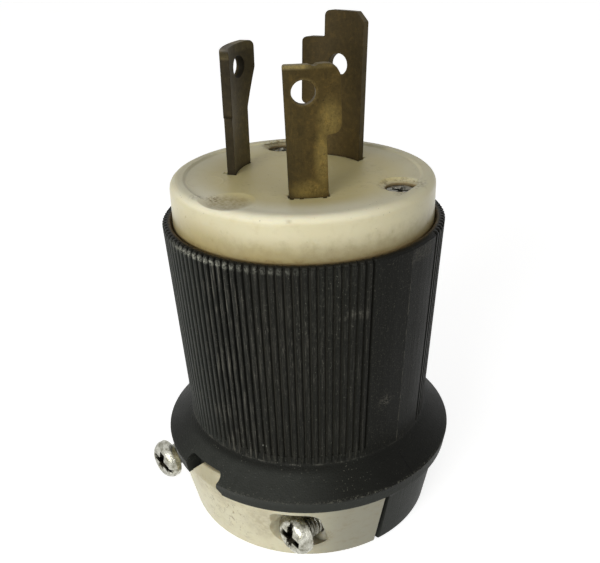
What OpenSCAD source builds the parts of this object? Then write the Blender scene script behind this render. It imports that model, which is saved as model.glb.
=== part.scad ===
// Three-blade locking power plug, 30 A size.
// Stands on its cord clamp with the blades up. The origin is on the plug's axis at the cord mouth.
// The cord clamp closes along Y. Its loose jaw is on the -Y side.

/* [Housing] */
// Radius of the grip at its front rim
grip_top_r = 25.83; // [25.6:0.01:26.4]
// Height of the front rim above the cord mouth
grip_top_z = 60.54; // [58:0.01:63]
// Radius of the grip where it meets the flange
grip_foot_r = 23.6; // [23.4:0.01:25]
// Height at which the grip meets the flange
grip_foot_z = 20.8; // [20.5:0.1:23]
// Radius of the flange's sharp edge
flange_r = 28.6; // [28:0.1:30]
// Height of the flange's sharp edge
flange_edge_z = 16.3; // [15.6:0.1:17]
// Height of the flange's underside
flange_base_z = 13.8; // [13.5:0.1:15]

/* [Ribs] */
// Number of ribs on each side of the grip
rib_count = 48; // [20:1:60]
// Half the angle of each smooth panel, degrees
panel_half_angle = 18; // [10:0.5:25]
// Turn of the panels away from the X axis, degrees
panel_turn = 1.5; // [0:0.5:3]
// Depth of the groove between two ribs
groove_depth = 0.45; // [0.2:0.05:0.6]

/* [Nose] */
// Radius of the white nose
nose_r = 23.9; // [23.4:0.1:24]
// Height of the face that the blades stand on
face_z = 67.8; // [66:0.1:70]
// Height of the low rim round the face
face_rim_h = 0.3; // [0.1:0.1:0.6]
// Azimuths of the two assembly screws, degrees
assembly_azimuths = [23, 150]; // [0:1:360]
// Radius of the circle that the assembly screws lie on
assembly_circle_r = 18.7; // [18:0.1:19]

/* [Blades] */
// Outer radius of the curved blades
blade_r = 13.8; // [13.4:0.1:14.2]
// Thickness of the blade metal
blade_t = 1.45; // [1.2:0.05:1.6]
// Height of the underside of the blades' hooks
hook_z = 78; // [76:0.1:80]
// Height of the tops of the blades' hooks
line_top_z = 89.2; // [86:0.1:91]
// Height of the ground blade's tip
ground_top_z = 94.2; // [91:0.1:96]
// Radius of the hole in each blade
blade_hole_r = 1.95; // [1.5:0.05:2.2]
// Outward lean of the ground blade, degrees
ground_lean = 2; // [0:0.5:3]

/* [Cord clamp] */
// Radius of the cord passage
throat_r = 11.5; // [9:0.5:12]
// Outer radius of the clamp at the cord mouth
clamp_base_r = 24.4; // [24:0.1:25]
// Gap left between the two jaws
jaw_gap = 1.3; // [0.5:0.1:2]
// Distance of each clamp screw from the middle
clamp_screw_x = 17.4; // [17:0.1:17.6]
// Height of the clamp screws
clamp_screw_z = 7; // [6:0.1:7.5]
// How far out of the axis plane each clamp screw's head sits
clamp_head_y = [23.6, 18.6]; // [15:0.1:26]

/* [Hidden] */

$fn = 96;
eps = 0.01;
black_nylon = [0.11, 0.12, 0.11];
cream_nylon = [0.86, 0.83, 0.71];
old_brass = [0.40, 0.33, 0.18];
zinc = [0.78, 0.78, 0.76];

// Housing: heights and walls
grip_slope = (grip_top_r - grip_foot_r) / (grip_top_z - grip_foot_z);
chamber_r = 21.6;
chamber_floor_z = 18.5;
seat_z = grip_top_z - 6.5;
seat_r = nose_r + 0.15;
floor_hole_r = throat_r + 1;
lip_r = flange_r - 0.4;

// Ribs: the pitch and the shape of one groove, in degrees and millimetres
rib_pitch = (180 - 2 * panel_half_angle) / rib_count;
groove_floor = 0.28;
groove_mouth = 0.55;
crown_edge = 0.85;
crown_drop = 0.12;
seam_h = 0.08;
rim_bevel = 0.35;

// Bodies inside the housing
rear_top_z = 52;
rear_base_z = 38.5;
inner_r = chamber_r - 0.15;
pocket_floor_z = 40.5;
pocket_inner_x = 4.5;
pocket_half_w = 4.45;

// Terminals, in each blade's own frame: X outwards, Y along the blade's width
tab_out_x = 13.45;
tab_in_x = 12;
plate_in_x = 6.6;
plate_out_x = 8.6;
terminal_z = 45.7;
terminal_screw_r = 1.9;
thread_gap = 0.02;

// Assembly screws and their inserts
assembly_head_r = 2.65;
assembly_head_h = 2.4;
assembly_head_z = face_z - 1;
assembly_screw_r = 1.7;
insert_r = 2.6;
insert_h = 8;
boss_r = 4;

// Blades: azimuth of the middle, half width of the neck, reach of the hook past the middle,
// offset and height of the hole, then outward lean, tilt along the width and shift off the circle
line_1 = [-37.6, 3.28, 5.9, -0.2, 85, 0, 1.3, 0];
line_2 = [210.6, 3.9, 6.4, -1.6, 86, -1, -2.2, -0.3];
ground = [99.4, 4.23, 7.8, 1.5, 84.8, ground_lean, 0.8, 0];
line_2_lift = 0.8;
slot_gap = 0.2;

// Cord clamp
jaw_split_y = -4;
jaw_top_r = 27.3;
jaw_top_z = flange_base_z - 0.2;
fixed_jaw_top_r = 26.75;
grip_land_z = [2.6, 6.2, 9.8];
grip_land_h = 1.8;
grip_land_depth = 0.9;
clamp_screw_r = 2;
clamp_screw_l = 28;
clamp_head_r = 3.95;
clamp_head_h = 2.5;
clamp_head_turn = [15, 98];
pocket_r = 4.1;
pocket_side = 3.5;
pocket_low = 2.7;
pocket_high = 5;
pocket_y = 14.5;
nut_w = 8.6;
nut_t = 3.2;
nut_y = 0.6;
nut_gap = 0.15;

// Flange notch and the jaw's tab in it
notch_azimuth = -88;
notch_top_z = 17.85;
notch_in_r = 25.2;
tab_top_z = notch_top_z - 0.4;

// ---- Rounded outlines ----

function unit(v) = v / norm(v);

// Points of an arc of radius r that rounds the corner b between a and c
function corner(a, b, c, r, n) =
    let (
        u = unit(a - b),
        v = unit(c - b),
        half = acos(u * v) / 2,
        centre = b + unit(u + v) * r / sin(half),
        p = b + u * r / tan(half) - centre,
        turn = sign(u.x * v.y - u.y * v.x) * (180 - 2 * half),
        start = atan2(p.y, p.x)
    )
    [for (i = [0:n]) centre + r * [cos(start - turn * i / n), sin(start - turn * i / n)]];

// Outline through corners [x, y, radius]
function rounded(pts, n = 5) =
    let (k = len(pts))
    [for (i = [0:k - 1])
        let (b = pts[i], a = pts[(i + k - 1) % k], c = pts[(i + 1) % k])
        each b[2] == 0
            ? [[b.x, b.y]]
            : corner([a.x, a.y], [b.x, b.y], [c.x, c.y], b[2], n)];

// ---- Housing ----

// Outline of the grip at radius r: grooves on two sides, a smooth panel with a mould seam at each end of X
function polar(r, a) = [r * cos(a), r * sin(a)];

function groove_points(r, a) = [
    polar(r, a - crown_edge),
    polar(r - crown_drop, a - groove_mouth),
    polar(r - groove_depth, a - groove_floor),
    polar(r - groove_depth, a + groove_floor),
    polar(r - crown_drop, a + groove_mouth),
    polar(r, a + crown_edge)
];

function panel_points(r, a) = [
    for (k = [-4:4])
        polar(r + (k == 0 ? seam_h : 0), a + k * panel_half_angle / 5),
];

function side_points(r, start) = [
    for (k = [0:rib_count]) each groove_points(r, start + k * rib_pitch)
];

function grip_outline(r) = concat(
    side_points(r, panel_half_angle),
    panel_points(r, 180),
    side_points(r, 180 + panel_half_angle),
    panel_points(r, 360)
);

// Grip between two heights, its radius changing from r0 to r1
module grip_layer(r0, r1, z0, z1) {
    translate([0, 0, z0])
        rotate([0, 0, panel_turn])
            linear_extrude(height = z1 - z0, scale = r1 / r0)
                polygon(grip_outline(r0));
}

// Main length of the grip, then a narrowing end that bevels the ribs
module grip() {
    base_z = grip_foot_z - 1.4;
    bevel_z = grip_top_z - rim_bevel;
    bevel_r = grip_top_r - rim_bevel * grip_slope;
    grip_layer(grip_foot_r - 1.4 * grip_slope, bevel_r, base_z, bevel_z);
    grip_layer(bevel_r - 0.05, grip_top_r - rim_bevel, bevel_z - 0.1, grip_top_z);
}

module flange() {
    rotate_extrude()
        polygon(rounded([
            [0, flange_base_z, 0],
            [lip_r, flange_base_z, 0],
            [flange_r, flange_edge_z, 0.15],
            [grip_foot_r - 0.1, grip_foot_z, 1.2],
            [grip_foot_r - 0.15, grip_foot_z + 1.5, 0],
            [0, grip_foot_z + 1.5, 0]
        ], 3));
}

module fixed_jaw() {
    intersection() {
        rotate_extrude()
            polygon(rounded([
                [0, 0, 0],
                [clamp_base_r, 0, 0.8],
                [fixed_jaw_top_r, flange_base_z - 1.6, 1.5],
                [lip_r, flange_base_z, 0],
                [lip_r, flange_base_z + eps, 0],
                [0, flange_base_z + eps, 0]
            ], 3));
        translate([-30, jaw_split_y, -1])
            cube([60, 40, 20]);
    }
}

// Space inside the housing, with the seat for the nose at its mouth
module chamber() {
    rotate_extrude()
        polygon([
            [0, chamber_floor_z],
            [chamber_r - 2, chamber_floor_z],
            [chamber_r, chamber_floor_z + 2],
            [chamber_r, seat_z],
            [seat_r, seat_z],
            [seat_r, grip_top_z - 0.4],
            [seat_r + 0.4, grip_top_z + eps],
            [0, grip_top_z + eps]
        ]);
}

// Round passage for the cord, with grooves that leave lands to grip it
module throat(top_z) {
    translate([0, 0, -eps])
        cylinder(r = throat_r, h = top_z + 2 * eps);
    for (z = grip_land_z)
        translate([0, 0, z])
            cylinder(r = throat_r + grip_land_depth, h = grip_land_h);
}

// Notch in the flange, wider at its top, with one rounded lip
module flange_notch() {
    rotate([0, 0, notch_azimuth])
        difference() {
            rotate([90, 0, 90])
                linear_extrude(height = flange_r + 2)
                    polygon(rounded([
                        [-4.28, flange_base_z - 1, 0],
                        [-4.9, notch_top_z, 1.1],
                        [5, notch_top_z, 1.1],
                        [4.1, flange_base_z + 1.3, 0.5],
                        [5.2, flange_base_z + 0.4, 0.4],
                        [5.2, flange_base_z - 1, 0]
                    ]));
            cylinder(r = notch_in_r, h = flange_edge_z * 2);
        }
}

module at_assembly_screw(i) {
    rotate([0, 0, assembly_azimuths[i]])
        translate([assembly_circle_r, 0, 0])
            children();
}

// Pillar that takes an assembly screw's insert
module screw_boss(i) {
    at_assembly_screw(i)
        translate([0, 0, chamber_floor_z - 1])
            cylinder(r = boss_r, h = rear_base_z - chamber_floor_z + 1);
}

module insert_hole(i) {
    at_assembly_screw(i) {
        translate([0, 0, rear_base_z - insert_h])
            cylinder(r = insert_r, h = insert_h + eps);
        translate([0, 0, rear_base_z - insert_h - 4])
            cylinder(r = assembly_screw_r + 0.2, h = 5);
    }
}

// Slot for a square nut, open at the cord end, and the clearance bore through it
module nut_slot(side) {
    slot_w = nut_w + 2 * nut_gap;
    translate([side * clamp_screw_x - slot_w / 2, nut_y - 0.1, -eps])
        cube([slot_w, nut_t + 0.2, clamp_screw_z + slot_w / 2]);
    translate([side * clamp_screw_x, 12, clamp_screw_z])
        rotate([90, 0, 0])
            cylinder(r = clamp_screw_r + 0.3, h = 12 - jaw_split_y + 1);
}

// Moulding core behind the throat's wall, between two azimuths
module jaw_core(from_azimuth, to_azimuth, z0, z1) {
    rotate([0, 0, from_azimuth])
        rotate_extrude(angle = to_azimuth - from_azimuth)
            translate([throat_r + 3.1, z0])
                square([7.2, z1 - z0]);
}

module housing() {
    color(black_nylon)
        difference() {
            union() {
                difference() {
                    union() {
                        grip();
                        flange();
                    }
                    chamber();
                }
                fixed_jaw();
                for (i = [0, 1]) {
                    intersection() {
                        screw_boss(i);
                        cylinder(r = chamber_r + 1, h = grip_top_z);
                    }
                }
            }
            throat(jaw_top_z);
            translate([0, 0, jaw_top_z])
                cylinder(r = floor_hole_r, h = chamber_floor_z);
            flange_notch();
            for (i = [0, 1])
                insert_hole(i);
            for (side = [-1, 1])
                nut_slot(side);
            jaw_core(62, 118, -eps, 11);
        }
}

// ---- Loose jaw of the cord clamp ----

// Tab that fills the flange's notch, its one end sloping down to the jaw
module jaw_tab() {
    rotate([0, 0, notch_azimuth])
        translate([notch_in_r + 0.25, 0, 0])
            rotate([90, 0, 90])
                linear_extrude(height = 5)
                    polygon([
                        [-5.3, jaw_top_z - 0.5],
                        [0.24, tab_top_z + 1],
                        [5.2, tab_top_z + 1],
                        [4, flange_base_z + 1],
                        [4, jaw_top_z - 0.5]
                    ]);
}

// Outline of the pocket round a screw's head: a circle cut off and squared up on its outer side
module head_pocket() {
    intersection() {
        circle(r = pocket_r);
        translate([-pocket_r - 1, -pocket_r - 1])
            square([pocket_r + pocket_side + 1, 2 * pocket_r + 2]);
    }
    polygon(rounded([
        [-pocket_side, -pocket_low, 1],
        [pocket_side, -pocket_low, 1.2],
        [pocket_side, pocket_high, 1.5],
        [-pocket_side, pocket_high, 1.5]
    ]));
}

module clamp_jaw() {
    split_y = jaw_split_y - jaw_gap;
    color(cream_nylon)
        difference() {
            intersection() {
                rotate_extrude()
                    polygon(rounded([
                        [0, 0, 0],
                        [clamp_base_r, 0, 0.8],
                        [jaw_top_r, jaw_top_z, 0],
                        [jaw_top_r, tab_top_z, 0.4],
                        [0, tab_top_z, 0]
                    ], 3));
                union() {
                    translate([-30, -40, -1])
                        cube([60, 40 + split_y, jaw_top_z + 1]);
                    jaw_tab();
                }
            }
            throat(jaw_top_z);
            for (side = [0, 1])
                mirror([1 - side, 0, 0])
                    translate([clamp_screw_x, 0, clamp_screw_z])
                        rotate([90, 0, 0]) {
                            cylinder(r = clamp_screw_r + 0.4, h = 40);
                            translate([0, 0, pocket_y])
                                linear_extrude(height = 20)
                                    head_pocket();
                        }
            jaw_core(-120, -60, 3, jaw_top_z + eps);
        }
}

// ---- Blades ----

// Frame of one blade: X outwards through its middle, tipped about its root at the face
module blade_frame(blade) {
    rotate([0, 0, blade[0]])
        translate([blade_r + blade[7], 0, face_z])
            rotate([0, blade[5], 0])
                rotate([blade[6], 0, 0])
                    translate([-blade_r, 0, -face_z])
                        children();
}

// Curved sheet whose outline, seen from outside, is the given polygon
module curved_sheet(outline, gap = 0) {
    intersection() {
        difference() {
            cylinder(r = blade_r + gap, h = ground_top_z + 1);
            translate([0, 0, -1])
                cylinder(r = blade_r - blade_t - gap, h = ground_top_z + 3);
        }
        rotate([90, 0, 90])
            linear_extrude(height = blade_r + 2)
                polygon(outline);
    }
}

// Flat foot of a blade, with the hole for its terminal screw
module blade_foot(half_w) {
    difference() {
        translate([tab_in_x, -half_w, pocket_floor_z])
            cube([tab_out_x - tab_in_x, 2 * half_w, rear_top_z - pocket_floor_z]);
        translate([tab_in_x - 1, 0, terminal_z])
            rotate([0, 90, 0])
                cylinder(r = terminal_screw_r + 0.2, h = 4);
    }
}

module blade(blade, outline) {
    color(old_brass)
        blade_frame(blade) {
            difference() {
                curved_sheet(outline);
                translate([blade_r - 4, blade[3], blade[4]])
                    rotate([0, 90, 0])
                        cylinder(r = blade_hole_r, h = 6);
            }
            blade_foot(blade[1]);
        }
}

// Hooked line blade, with a nicked corner and a dent in its top
module line_blade_1() {
    w = line_1[1];
    reach = line_1[2];
    color(old_brass)
        difference() {
            blade(line_1, rounded([
                [-w, rear_top_z - 2, 0],
                [w, rear_top_z - 2, 0],
                [w, hook_z, 0.3],
                [reach, hook_z, 1.6],
                [reach, line_top_z, 2.6],
                [-w, line_top_z, 0.4]
            ]));
            blade_frame(line_1) {
                translate([blade_r - blade_t - 1.2, -w, line_top_z - 0.9])
                    rotate([0, 0, 45])
                        cube([1.3, 1.3, 2]);
                translate([blade_r - 3, 0.9, line_top_z + 0.55])
                    rotate([0, 90, 15])
                        cylinder(r = 0.85, h = 5);
            }
        }
}

// Wider line blade: its top swells on the side away from the hook
module line_blade_2() {
    w = line_2[1];
    reach = line_2[2];
    swell = 2.1;
    under_z = hook_z + line_2_lift;
    top_z = line_top_z + line_2_lift;
    blade(line_2, rounded([
        [-w, rear_top_z - 2, 0],
        [w, rear_top_z - 2, 0],
        [w, under_z, 0.3],
        [reach, under_z, 0.8],
        [reach, top_z, 1.2],
        [-w - swell, top_z, 1.2],
        [-w - swell, top_z - 4.8, 2],
        [-w, top_z - 11.7, 2]
    ]));
}

// Longer ground blade: the tip goes on above the hook and has a bevelled corner
module ground_blade() {
    w = ground[1];
    reach = ground[2];
    blade(ground, rounded([
        [-w, rear_top_z - 2, 0],
        [w, rear_top_z - 2, 0],
        [w, hook_z - 0.8, 0.3],
        [reach, hook_z - 0.8, 1],
        [reach, line_top_z + 0.3, 0.8],
        [w, line_top_z + 0.3, 0.3],
        [w, ground_top_z, 1],
        [-w + 2, ground_top_z, 0.3],
        [-w, ground_top_z - 1.6, 0.3]
    ]));
}

// ---- Front and rear bodies ----

// Slot for a blade, with three small crush notches along its outer side
module blade_slot(blade) {
    w = blade[1] + slot_gap;
    blade_frame(blade) {
        curved_sheet([
            [-w, rear_top_z - 2],
            [w, rear_top_z - 2],
            [w, face_z + 2],
            [-w, face_z + 2]
        ], slot_gap);
        for (y = [0.6 - w, 2.2 - w, w - 0.9])
            translate([blade_r - 1, y - 0.35, face_z - 1.2])
                cube([1.45, 0.7, 3]);
    }
}

module front_body() {
    rim_z = face_z + face_rim_h;
    dish_d = 0.5;
    dish_w = 4.25;
    dish_r = (dish_w * dish_w + dish_d * dish_d) / (2 * dish_d);
    color(cream_nylon)
        difference() {
            rotate_extrude()
                polygon(rounded([
                    [0, rear_top_z, 0],
                    [inner_r, rear_top_z, 0],
                    [inner_r, seat_z, 0],
                    [nose_r, seat_z, 0],
                    [nose_r, rim_z, 1.5],
                    [nose_r - 2.4, rim_z, 0.3],
                    [nose_r - 2.9, face_z, 0.3],
                    [0, face_z, 0]
                ]));
            blade_slot(line_1);
            blade_slot(line_2);
            blade_slot(ground);
            for (i = [0, 1])
                at_assembly_screw(i) {
                    translate([0, 0, rear_top_z - 1])
                        cylinder(r = assembly_screw_r + 0.2, h = 20);
                    translate([0, 0, assembly_head_z - assembly_head_h])
                        cylinder(r = assembly_head_r + 0.2, h = 10);
                    translate([0, 0, face_z - 0.6])
                        cylinder(r1 = assembly_head_r + 0.2, r2 = 4.1, h = 0.6 + eps);
                }
            // Shallow moulded dish with no screw in it
            rotate([0, 0, -82])
                translate([assembly_circle_r, 0, face_z + dish_r - dish_d])
                    sphere(r = dish_r);
        }
}

module terminal_pocket(blade) {
    blade_frame(blade) {
        translate([pocket_inner_x, -pocket_half_w, pocket_floor_z])
            cube([20, 2 * pocket_half_w, rear_top_z]);
        translate([(plate_out_x + tab_in_x) / 2, 0, rear_base_z - 1])
            cylinder(r = 2.8, h = 5);
    }
}

module rear_body() {
    color(cream_nylon)
        difference() {
            translate([0, 0, rear_base_z])
                cylinder(r = inner_r, h = rear_top_z - rear_base_z);
            terminal_pocket(line_1);
            terminal_pocket(line_2);
            terminal_pocket(ground);
            for (i = [0, 1])
                at_assembly_screw(i)
                    translate([0, 0, rear_base_z - 1])
                        cylinder(r = assembly_screw_r + 0.2, h = 20);
        }
}

// ---- Terminals ----

// Plain screw along +X with its head's underside at x = 0 and a slotted pan head
module slotted_screw(r, length, head_r, head_h) {
    difference() {
        union() {
            translate([-length, 0, 0])
                rotate([0, 90, 0])
                    cylinder(r = r, h = length + eps);
            rotate([90, 0, 90])
                rotate_extrude()
                    polygon(rounded([
                        [0, 0, 0],
                        [head_r, 0, 0],
                        [head_r, head_h, 0.9],
                        [0, head_h, 0]
                    ], 3));
        }
        translate([head_h - 0.9, -head_r - 1, -0.5])
            cube([2, 2 * head_r + 2, 1]);
    }
}

module terminal_screw(blade) {
    color(zinc)
        blade_frame(blade)
            translate([tab_out_x, 0, terminal_z])
                slotted_screw(terminal_screw_r, 8.2, 3.4, 2.1);
}

// Pressure plate that pulls the wire against the blade's foot
module clamp_plate(blade) {
    half_w = 3.9;
    half_h = 4.4;
    color(old_brass)
        blade_frame(blade)
            translate([plate_in_x, 0, terminal_z])
                difference() {
                    translate([0, -half_w, -half_h])
                        cube([plate_out_x - plate_in_x, 2 * half_w, 2 * half_h]);
                    translate([-1, 0, 0])
                        rotate([0, 90, 0])
                            cylinder(r = terminal_screw_r + thread_gap, h = 5);
                    // Serrations across the wire
                    for (z = [-3.4, 3.4])
                        translate([plate_out_x - plate_in_x, 0, z])
                            rotate([0, 45, 0])
                                cube([0.7, 2 * half_w + 2, 0.7], center = true);
                }
}

module line_terminal_screw_1() { terminal_screw(line_1); }
module line_terminal_screw_2() { terminal_screw(line_2); }
module ground_terminal_screw() { terminal_screw(ground); }
module line_clamp_plate_1() { clamp_plate(line_1); }
module line_clamp_plate_2() { clamp_plate(line_2); }
module ground_clamp_plate() { clamp_plate(ground); }

// ---- Fasteners ----

// Four tapered wings of a cross recess, cut down from z = 0
module cross_recess(reach, width, depth) {
    for (a = [0, 90])
        rotate([0, 0, a])
            translate([0, width / 2, 0])
                rotate([90, 0, 0])
                    linear_extrude(height = width)
                        polygon([
                            [-reach, 0.5],
                            [-reach * 0.95, 0],
                            [-reach * 0.35, -depth],
                            [reach * 0.35, -depth],
                            [reach * 0.95, 0],
                            [reach, 0.5]
                        ]);
}

module assembly_screw(i) {
    tip_z = rear_base_z - insert_h - 2;
    seat = assembly_head_z - assembly_head_h;
    color(zinc)
        at_assembly_screw(i)
            difference() {
                union() {
                    translate([0, 0, tip_z])
                        cylinder(r = assembly_screw_r, h = seat - tip_z + eps);
                    translate([0, 0, seat])
                        cylinder(r = assembly_head_r, h = assembly_head_h);
                }
                translate([0, 0, assembly_head_z])
                    cross_recess(1.9, 0.9, 1.6);
            }
}

// Brass insert in the housing's pillar, with a waist that locks it
module assembly_insert(i) {
    color("goldenrod")
        at_assembly_screw(i)
            translate([0, 0, rear_base_z - insert_h])
                difference() {
                    cylinder(r = insert_r, h = insert_h);
                    translate([0, 0, -1])
                        cylinder(r = assembly_screw_r + thread_gap, h = insert_h + 2);
                    translate([0, 0, insert_h / 2 - 0.6])
                        difference() {
                            cylinder(r = insert_r + 1, h = 1.2);
                            translate([0, 0, -1])
                                cylinder(r = insert_r - 0.4, h = 4);
                        }
                }
}

// Pan head screw of the cord clamp: cross recess and slot, its tip towards +Y
module cord_clamp_screw(side, head_y, turn) {
    color(zinc)
        translate([side * clamp_screw_x, -head_y, clamp_screw_z])
            rotate([90, turn, 0])
                difference() {
                    union() {
                        translate([0, 0, -clamp_screw_l])
                            cylinder(r = clamp_screw_r, h = clamp_screw_l + eps);
                        rotate_extrude()
                            polygon(rounded([
                                [0, 0, 0],
                                [clamp_head_r, 0, 0.25],
                                [clamp_head_r, clamp_head_h * 0.5, 0.6],
                                [clamp_head_r * 0.8, clamp_head_h, 1.4],
                                [0, clamp_head_h, 0]
                            ], 4));
                    }
                    translate([0, 0, clamp_head_h])
                        cross_recess(2.7, 1.5, 2);
                    translate([-clamp_head_r - 1, -0.45, clamp_head_h - 0.7])
                        cube([2 * clamp_head_r + 2, 0.9, 2]);
                }
}

module cord_clamp_nut(side) {
    color(zinc)
        difference() {
            translate([side * clamp_screw_x - nut_w / 2, nut_y, clamp_screw_z - nut_w / 2])
                cube([nut_w, nut_t, nut_w]);
            translate([side * clamp_screw_x, nut_y + nut_t + 1, clamp_screw_z])
                rotate([90, 0, 0])
                    cylinder(r = clamp_screw_r + thread_gap, h = nut_t + 2);
        }
}

module assembly_screw_1() { assembly_screw(0); }
module assembly_screw_2() { assembly_screw(1); }
module assembly_insert_1() { assembly_insert(0); }
module assembly_insert_2() { assembly_insert(1); }
module cord_clamp_screw_1() { cord_clamp_screw(-1, clamp_head_y[0], clamp_head_turn[0]); }
module cord_clamp_screw_2() { cord_clamp_screw(1, clamp_head_y[1], clamp_head_turn[1]); }
module cord_clamp_nut_1() { cord_clamp_nut(-1); }
module cord_clamp_nut_2() { cord_clamp_nut(1); }

housing();
clamp_jaw();
front_body();
rear_body();
line_blade_1();
line_blade_2();
ground_blade();
line_terminal_screw_1();
line_terminal_screw_2();
ground_terminal_screw();
line_clamp_plate_1();
line_clamp_plate_2();
ground_clamp_plate();
assembly_screw_1();
assembly_screw_2();
assembly_insert_1();
assembly_insert_2();
cord_clamp_screw_1();
cord_clamp_screw_2();
cord_clamp_nut_1();
cord_clamp_nut_2();
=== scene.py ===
"""Looks of a three-blade locking power plug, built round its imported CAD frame."""

import math

import bmesh
import bpy
from mathutils import Matrix, Vector


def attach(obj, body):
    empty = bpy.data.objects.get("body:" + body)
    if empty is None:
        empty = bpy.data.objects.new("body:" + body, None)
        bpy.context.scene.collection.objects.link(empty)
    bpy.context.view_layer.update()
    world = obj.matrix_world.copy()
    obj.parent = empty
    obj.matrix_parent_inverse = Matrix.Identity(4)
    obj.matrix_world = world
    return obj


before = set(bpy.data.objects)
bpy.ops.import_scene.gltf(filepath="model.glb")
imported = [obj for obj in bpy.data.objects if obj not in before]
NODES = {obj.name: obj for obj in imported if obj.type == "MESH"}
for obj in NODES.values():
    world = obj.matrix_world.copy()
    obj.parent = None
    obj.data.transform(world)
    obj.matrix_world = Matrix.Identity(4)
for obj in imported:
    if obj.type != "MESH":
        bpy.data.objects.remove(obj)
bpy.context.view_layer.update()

MM = 0.001

# ---- Sizes of the CAD part, in millimetres and degrees ----

GRIP_TOP_Z = 60.54
GRIP_TOP_R = 25.83
GRIP_FOOT_Z = 20.8
GRIP_FOOT_R = 23.6
GRIP_SLOPE = (GRIP_TOP_R - GRIP_FOOT_R) / (GRIP_TOP_Z - GRIP_FOOT_Z)
MEAN_R = 25
PANEL_TURN = 1.5
PANEL_HALF = 18
RIB_PITCH = 3.0
FLANGE_R = 28.6
FLANGE_Z = 16.3
FLANGE_BASE_Z = 13.8
LIP_R = 28.0
NOSE_R = 23.9
FACE_Z = 67.8
BLADE_R = 13.8
HOLE_R = 1.95
LINE_TOP_Z = 89.2
SCREW_CIRCLE_R = 18.7
SCREW_AZIMUTHS = (23, 150)
ASSEMBLY_HEAD_Z = 66.8
DISH_AZIMUTH = -82
CLAMP_SCREW_X = 17.4
CLAMP_SCREW_Z = 7
CLAMP_HEAD_Y = (-23.6, -18.6)
CLAMP_HEAD_H = 2.5
THREAD_START = 0.45
THREAD_END_Y = 0.2
THREAD_ROOT_R = 1.9
THREAD_CREST_R = 2.26
THREAD_PITCH = 0.8
THREAD_STEPS = 24
BEVEL_SAMPLES = 6


def polar(radius, azimuth, z):
    a = math.radians(azimuth)
    return (radius * math.cos(a), radius * math.sin(a), z)


# ---- Colours, sRGB from 0 to 255 ----

BLACK = {
    "base": (28, 29, 26),
    "cloud": (35, 36, 33),
    "fleck": (52, 51, 44),
    "painted crown shade": (24, 24, 20),
    # painted shade in the grooves
    "groove": (14, 14, 12),
    "painted groove light": (50, 49, 43),
    # painted shade for the smooth side towards +X
    "clean": (17, 17, 14),
    "speckle": (92, 90, 80),
    "painted light on the left": (60, 63, 59),
    "rubbed": (98, 96, 87),
    "rib end": (142, 142, 130),
    "scuff": (110, 108, 98),
    "chip": (176, 176, 166),
    "seam": (112, 110, 98),
    "crack": (9, 9, 8),
    "nick": (128, 127, 114),
    "dust_and_painted_sheen": (76, 78, 73),
    "grit": (118, 120, 112),
    "foot line": (100, 99, 90),
    "dust": (112, 112, 100),
    "greyed": (56, 58, 54),
    # painted shadow inside the rim
    "rim": (22, 21, 17),
    "rim dirt": (100, 84, 56),
}
CREAM = {
    "nose": (215, 208, 177),
    "nose cloud": (205, 197, 161),
    "nose mottle": (190, 178, 138),
    "nose foot shade and dirt": (140, 128, 90),
    "yellowed": (206, 192, 137),
    "patch": (168, 152, 100),
    "ring": (234, 228, 200),
    "dish": (188, 170, 112),
    "jaw": (214, 209, 184),
    "jaw cloud": (202, 196, 166),
    "jaw mottle": (188, 178, 142),
    "greyed": (150, 147, 129),
    "pocket": (240, 235, 212),
    "tab": (166, 158, 128),
    "dirt": (122, 102, 66),
    "speck": (104, 90, 62),
}
BRASS = {
    "clean": (114, 98, 53),
    "painted hole rim highlight": (122, 106, 66),
    "grime": (40, 33, 22),
    "dot": (38, 31, 22),
    "bright": (178, 150, 88),
    "bright stain": (140, 114, 62),
}
ZINC = {
    "plate": (196, 195, 184),
    "stain": (128, 126, 112),
    "grain": (104, 100, 86),
    # dirt, and painted shade in the screws' recesses
    "dirt": (46, 43, 36),
    "green": (70, 120, 70),
}

# ---- Sides of the plug: from one azimuth to another, and the soft margin at each ----

SIDES = {
    # black moulding
    "foot of the front": (-110, -16, 12),
    "front": (-64, -16, 10),
    "clean": (-18, 60, 10),
    "left front": (-84, -66, 12),
    "middle": (-74, -34, 12),
    "left": (-150, -88, 14),
    "scuffed rib ends": (-100, -68, 8),
    "faint rib ends": (-72, -46, 10),
    "top of the panel": (2, 15, 1.5),
    "crack": (-0.55, 0.05, 0.1),
    "dust_and_painted_sheen": (-104, -38, 14),
    # nose
    "painted light ring": (-112, -8, 22),
    "falling edge": (-105, 5, 35),
    # loose jaw
    "crumbs": (-84, -62, 6),
    "scratches": (-96, -64, 10),
}

# ---- Levels: from one height to another, and the soft margin at each ----

LEVELS = {
    "middle of the grip": (38, 54, 7),
    "rib ends": (GRIP_TOP_Z - 1.19, GRIP_TOP_Z - 0.24, 0.25),
    "top of the panel": (GRIP_TOP_Z - 2.94, GRIP_TOP_Z - 0.54, 0.5),
    "flange edge": (FLANGE_Z - 0.3, FLANGE_Z + 0.4, 0.2),
    "flange": (FLANGE_Z - 0.9, GRIP_FOOT_Z + 0.3, 0.6),
    "foot line": (GRIP_FOOT_Z - 0.12, GRIP_FOOT_Z + 0.12, 0.1),
    "crumbs": (9.5, 14.5, 1.0),
    "scratches": (3, 14.5, 2.0),
}

# ---- Patches: a noise's scale, detail and roughness, and its values at the mask's 0 and 1 ----

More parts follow.
